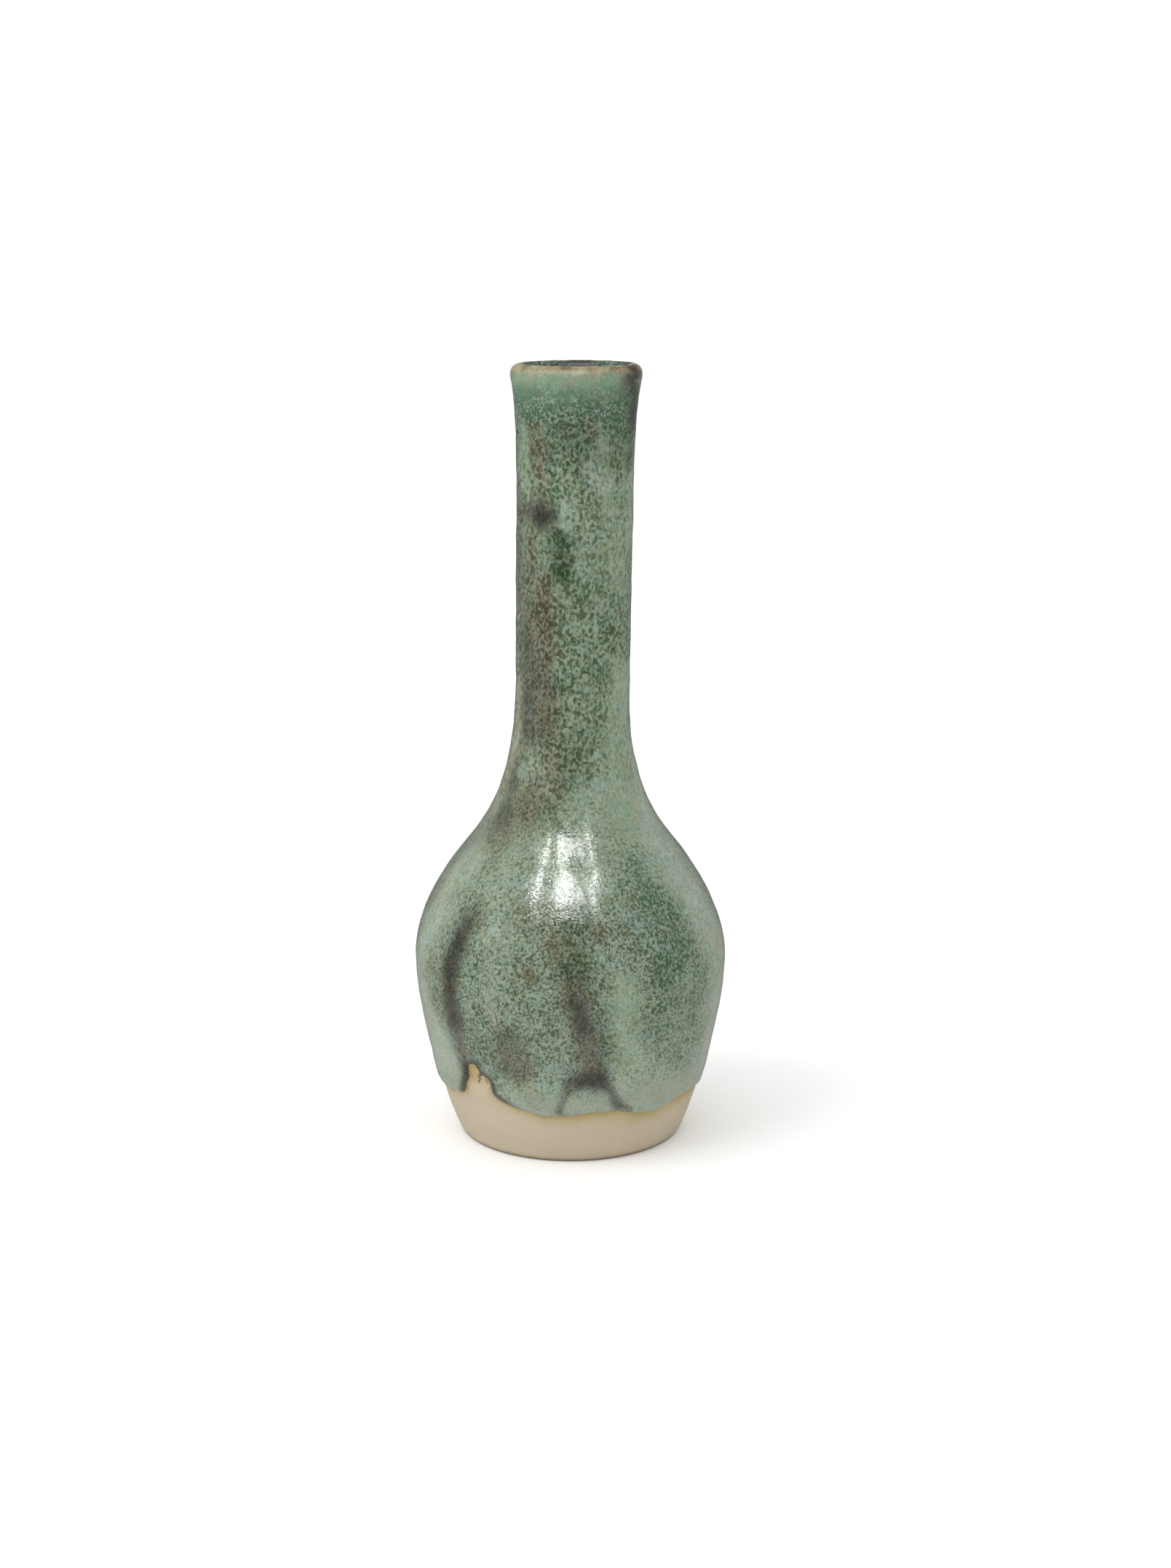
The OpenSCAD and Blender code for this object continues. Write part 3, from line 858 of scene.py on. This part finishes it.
class Nodes:
    """Short calls for building a material's node tree."""

    def __init__(self, name):
        self.material = bpy.data.materials.new(name)
        self.material.use_nodes = True
        self.tree = self.material.node_tree
        self.shader = self.tree.nodes["Principled BSDF"]

    def add(self, kind, **settings):
        """A new node with these settings."""
        node = self.tree.nodes.new(kind)
        for key, value in settings.items():
            setattr(node, key, value)
        return node

    def put(self, socket, value):
        """Sets a socket, or links it when the value is another node's socket."""
        if isinstance(value, bpy.types.NodeSocket):
            self.tree.links.new(value, socket)
        else:
            socket.default_value = value

    def surface(self, socket, value):
        """Sets or links one of the shader's own sockets."""
        self.put(self.shader.inputs[socket], value)

    def math(self, operation, a, b=0.0, c=0.0, clamp=False):
        """One step of arithmetic."""
        node = self.add("ShaderNodeMath", operation=operation, use_clamp=clamp)
        for socket, value in zip(node.inputs, (a, b, c)):
            self.put(socket, value)
        return node.outputs[0]

    def line(self, value, gain, base, clamp=False):
        """A value times a gain, on top of a base."""
        return self.math("MULTIPLY_ADD", value, gain, base, clamp=clamp)

    def level(self, value, middle, gain, base=0.0, clamp=True):
        """How far a value is over a middle one, times a gain, on top of a base."""
        return self.line(self.math("SUBTRACT", value, middle), gain, base, clamp)

    def mix(self, part, a, b, blend="MIX"):
        """Part of the way from one colour to another."""
        node = self.add("ShaderNodeMix", data_type="RGBA", blend_type=blend)
        self.put(node.inputs["Factor"], part)
        for socket, value in zip([s for s in node.inputs if s.type == "RGBA"], (a, b)):
            self.put(socket, value)
        return [s for s in node.outputs if s.type == "RGBA"][0]

    def mix_number(self, part, a, b):
        """Part of the way from one number to another."""
        node = self.add("ShaderNodeMix", data_type="FLOAT")
        self.put(node.inputs["Factor"], part)
        for socket, value in zip([s for s in node.inputs if s.name in "AB" and s.type == "VALUE"], (a, b)):
            self.put(socket, value)
        return node.outputs[0]

    def stored(self, name, number=True):
        """A number or a colour that is kept at each vertex."""
        node = self.add("ShaderNodeAttribute", attribute_name=name)
        return node.outputs["Fac" if number else "Color"]

    def spots(self, feature, stretch=1.0, detail=2.0, roughness=0.5, distortion=0.0, shift=0.0):
        """Noise whose waves are this many mm across, and stretch times as tall."""
        where = self.add("ShaderNodeTexCoord").outputs["Object"]
        move = self.add("ShaderNodeMapping")
        self.put(move.inputs["Vector"], where)
        move.inputs["Location"].default_value = (shift, shift * 0.7, shift * 1.3)
        move.inputs["Scale"].default_value = (1, 1, 1 / stretch)
        noise = self.add("ShaderNodeTexNoise")
        self.put(noise.inputs["Vector"], move.outputs[0])
        settings = {"Scale": 1 / (feature * MM), "Detail": detail, "Roughness": roughness,
                    "Distortion": distortion}
        for socket, value in settings.items():
            noise.inputs[socket].default_value = value
        return noise.outputs["Fac"]

    def curdle(self, blob, thread, stretch, shift):
        """Blobs of one size crossed by threads, which follow the middle of a wider noise."""
        blobs = self.spots(blob, stretch=stretch, detail=1.5, distortion=0.2, shift=shift)
        wide = self.spots(thread, stretch=stretch, detail=1.0, distortion=0.4, shift=shift + 9.0)
        off = self.math("ABSOLUTE", self.math("SUBTRACT", wide, 0.5))
        threads = self.line(off, -2.0, 0.66)
        return self.mix_number(0.5, blobs, threads)

    def bump(self, height, distance):
        """Fine relief, this many mm high where the height is 1."""
        node = self.add("ShaderNodeBump")
        node.inputs["Strength"].default_value = 1.0
        node.inputs["Distance"].default_value = distance * MM
        self.put(node.inputs["Height"], height)
        self.surface("Normal", node.outputs[0])


def glaze_ground(nodes):
    """The stored ground, darker, greener or redder in places, with rust specks."""
    tint = nodes.level(nodes.spots(2.4, detail=3.0, shift=1.1), 0.5, 1.8, 0.35)
    ground = nodes.mix(tint, nodes.stored("ground", number=False), (0.74, 0.74, 0.66, 1), "MULTIPLY")
    turn = nodes.level(nodes.spots(2.9, detail=2.0, shift=6.6), 0.5, 4.0, 0.5)
    ground = nodes.mix(1.0, ground, nodes.mix(turn, (0.84, 1.02, 0.90, 1), (1.12, 1.0, 0.92, 1)), "MULTIPLY")
    rusty = nodes.level(nodes.spots(1.7, detail=3.0, shift=2.3), 0.54, 6.0)
    rusty = nodes.math("MULTIPLY", rusty, nodes.stored("rust"))
    return nodes.mix(rusty, ground, (*seen(96, 76, 50), 1))


def glaze(name):
    """Curdled glaze: pale flecks and fine pale threads on a darker ground, rust specks, and a glossy,
    slightly pebbled surface."""
    nodes = Nodes(name)
    fine = nodes.curdle(0.46, 0.80, stretch=1.15, shift=0.0)
    large = nodes.curdle(0.62, 1.05, stretch=1.25, shift=0.3)
    pattern = nodes.mix_number(nodes.stored("coarse"), fine, large)
    cover = nodes.level(nodes.spots(4.5, detail=3.0, shift=0.7), 0.5, 0.8, nodes.stored("cover"), clamp=False)
    flecks = nodes.level(pattern, 0.5, nodes.stored("contrast"), cover)
    cool = nodes.level(nodes.spots(3.0, shift=3.1), 0.5, 3.0, 0.5)
    hue = nodes.mix(cool, (1.04, 1.0, 0.90, 1), (0.94, 1.02, 1.06, 1))
    fleck = nodes.mix(1.0, nodes.stored("fleck", number=False), hue, "MULTIPLY")
    nodes.surface("Base Color", nodes.mix(flecks, glaze_ground(nodes), fleck))

    pebbles = nodes.math("MAXIMUM", nodes.math("SUBTRACT", nodes.spots(0.5, detail=1.0, shift=4.2), 0.5), 0.0)
    height = nodes.line(flecks, 0.03, pebbles)
    swell = nodes.spots(5.0, detail=1.0, shift=5.5)
    nodes.bump(nodes.line(swell, 0.45, height), 0.075)
    rough = nodes.line(nodes.stored("matt"), 0.45, 0.105)
    nodes.surface("Roughness", nodes.line(flecks, 0.06, rough))
    nodes.surface("IOR", 1.52)
    return nodes.material


def clay_colour(*colour):
    """A colour of the clay, which has less sheen than the glaze."""
    return (*seen(*colour, sheen=CLAY_SHEEN), 1)


def bare_clay(name):
    """Matt buff stoneware with a fine grain, ochre where the glaze's edge has stained it. Its bottom edge
    has a painted contact shadow.
    """
    nodes = Nodes(name)
    grain = nodes.spots(0.55, detail=3.0, roughness=0.65)
    clouds = nodes.level(nodes.spots(18.0, stretch=0.5, detail=2.0, shift=1.0), 0.5, 1.6, 0.5)
    colour = nodes.mix(clouds, clay_colour(201, 189, 167), clay_colour(193, 179, 154))
    colour = nodes.mix(nodes.level(grain, 0.5, 1.4, 0.3), colour, (0.90, 0.88, 0.85, 1), "MULTIPLY")
    drift = nodes.line(nodes.spots(4.4, detail=2.0, shift=2.0), 1.3, 0.3)
    halo = nodes.math("MULTIPLY", nodes.stored("halo"), drift, clamp=True)
    colour = nodes.mix(halo, colour, clay_colour(176, 157, 104))
    dots = nodes.level(nodes.spots(0.8, shift=6.0), 0.50, 9.0)
    dots = nodes.math("MULTIPLY", dots, nodes.stored("specks"), clamp=True)
    colour = nodes.mix(dots, colour, clay_colour(112, 84, 42))
    iron = nodes.level(nodes.spots(0.9, shift=8.0), 0.72, 16.0)
    colour = nodes.mix(nodes.math("MULTIPLY", iron, 0.5), colour, clay_colour(146, 120, 86))
    # the painted contact shadow along the foot's bottom edge
    colour = nodes.mix(nodes.stored("foot"), colour, (0.36, 0.31, 0.24, 1), "MULTIPLY")
    nodes.surface("Base Color", colour)
    nodes.surface("Roughness", nodes.line(grain, 0.15, 0.72))
    nodes.surface("IOR", 1.42)
    trim = nodes.spots(3.2, stretch=0.12, detail=2.0, shift=3.0)
    nodes.bump(nodes.line(trim, 0.8, grain), 0.02)
    return nodes.material


def matt_floor(name):
    """A plain, pale, matt surface."""
    nodes = Nodes(name)
    soft = nodes.spots(120, detail=2.0)
    colour = nodes.mix(soft, (0.95, 0.95, 0.945, 1), (0.97, 0.97, 0.965, 1))
    nodes.surface("Base Color", colour)
    nodes.surface("Roughness", 0.95)
    nodes.surface("Specular IOR Level", 0.1)
    return nodes.material


# ---------------- pieces into the frame


def finish_piece(piece, node, material):
    """Gives a piece its material and its place in the frame."""
    piece.data.materials.append(material)
    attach(piece, "root")
    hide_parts(node)


finish_piece(make_clay(), "clay_body", bare_clay("bare_clay"))
finish_piece(make_outer_coat(), "outer_glaze", glaze("mottled_green_glaze"))
finish_piece(make_lip_coat(), "lip_glaze", glaze("lip_glaze"))
finish_piece(make_liner(), "liner_glaze", glaze("liner_glaze"))

# ---------------- stage, camera and light

HALF_FLOOR = 4.0             # in metres


def make_floor():
    """A wide pale floor that the vase stands on."""
    half = HALF_FLOOR
    mesh = bpy.data.meshes.new("floor")
    corners = [(-half, -half, 0), (half, -half, 0), (half, half, 0), (-half, half, 0)]
    mesh.from_pydata(corners, [], [(0, 1, 2, 3)])
    floor = bpy.data.objects.new("floor", mesh)
    bpy.context.scene.collection.objects.link(floor)
    floor.data.materials.append(matt_floor("floor"))
    floor.visible_glossy = False


CAMERA_PLACE = (0.0030, -0.4717, 0.1764)
CAMERA_DOWN = 12.79          # degrees below the horizon
CAMERA_LENS = 57.2           # in mm, over a 36 mm sensor


def make_camera():
    """A camera in front of the vase, looking down a little."""
    camera = bpy.data.objects.new("camera", bpy.data.cameras.new("camera"))
    bpy.context.scene.collection.objects.link(camera)
    camera.location = CAMERA_PLACE
    camera.rotation_euler = (math.radians(90 - CAMERA_DOWN), 0, 0)
    camera.data.lens = CAMERA_LENS
    camera.data.sensor_width = 36
    camera.data.clip_start = 0.01
    bpy.context.scene.camera = camera


AIM = Vector((0, 0, 0.058))  # the shoulder, where the strips of light are mirrored


def towards(azimuth, elevation):
    """The direction with this azimuth and elevation."""
    a, e = math.radians(azimuth), math.radians(elevation)
    return Vector((math.sin(a) * math.cos(e), -math.cos(a) * math.cos(e), math.sin(e)))


def make_light(name, start, end, width, brightness, mirrored=True):
    """A rectangular light that faces the shoulder from a metre away. It runs between two directions,
    each an azimuth and an elevation in degrees, and is this many metres wide. The glaze either mirrors
    it or is only lit by it."""
    low, high = towards(*start), towards(*end)
    facing = (low + high).normalized()
    along = (high - low).normalized()
    across = along.cross(facing).normalized()
    length = (high - low).length
    data = bpy.data.lights.new(name, "AREA")
    data.shape = "RECTANGLE"
    data.size, data.size_y = width, length
    data.energy = brightness * math.pi * width * length
    light = bpy.data.objects.new(name, data)
    bpy.context.scene.collection.objects.link(light)
    light.matrix_world = Matrix((across, along, facing)).transposed().to_4x4()
    light.location = AIM + facing
    light.visible_glossy = mirrored
    light.visible_diffuse = not mirrored


CAMERA_WHITE, SOFT_WHITE = 1.3, 1.1             # brightness behind the vase and of the soft light
MIRRORED_ROOM, MIRRORED_TABLE = 0.18, 0.75      # brightness that the glaze mirrors


def make_world():
    """White behind the vase and in the soft light on it, and a grey room over a pale table where the
    glaze mirrors it."""
    world = bpy.data.worlds.new("studio")
    world.use_nodes = True
    tree = world.node_tree
    add, link = tree.nodes.new, tree.links.new
    background = tree.nodes["Background"]
    background.inputs["Color"].default_value = (1, 1, 1, 1)
    direction = add("ShaderNodeTexCoord")
    parts = add("ShaderNodeSeparateXYZ")
    link(direction.outputs["Generated"], parts.inputs[0])
    down = add("ShaderNodeMapRange")
    link(parts.outputs["Z"], down.inputs["Value"])
    ends = {"From Min": -0.25, "From Max": -0.80, "To Min": MIRRORED_ROOM, "To Max": MIRRORED_TABLE}
    for socket, value in ends.items():
        down.inputs[socket].default_value = value
    path = add("ShaderNodeLightPath")
    mirrored = add("ShaderNodeMix")
    link(path.outputs["Is Glossy Ray"], mirrored.inputs["Factor"])
    mirrored.inputs["A"].default_value = SOFT_WHITE
    link(down.outputs["Result"], mirrored.inputs["B"])
    direct = add("ShaderNodeMix")
    link(path.outputs["Is Camera Ray"], direct.inputs["Factor"])
    link(mirrored.outputs["Result"], direct.inputs["A"])
    direct.inputs["B"].default_value = CAMERA_WHITE
    link(direct.outputs["Result"], background.inputs["Strength"])
    bpy.context.scene.world = world


def make_lights():
    """A broad light from the left for the shading, and a window's four panes for the highlight."""
    make_light("key", (-62, 22), (-62, 58), 0.7, 3.0, mirrored=False)
    make_light("strip_left", (-37, 46), (-43, 60), 0.08, 24)
    make_light("pane_left", (-8, 47), (-12, 63), 0.19, 21)
    make_light("pane_right", (8.5, 47), (9, 56), 0.12, 16)
    make_light("strip_right", (26, 42), (31, 61), 0.055, 26)


make_floor()
make_camera()
make_world()
make_lights()
bpy.context.scene.view_settings.view_transform = "Standard"
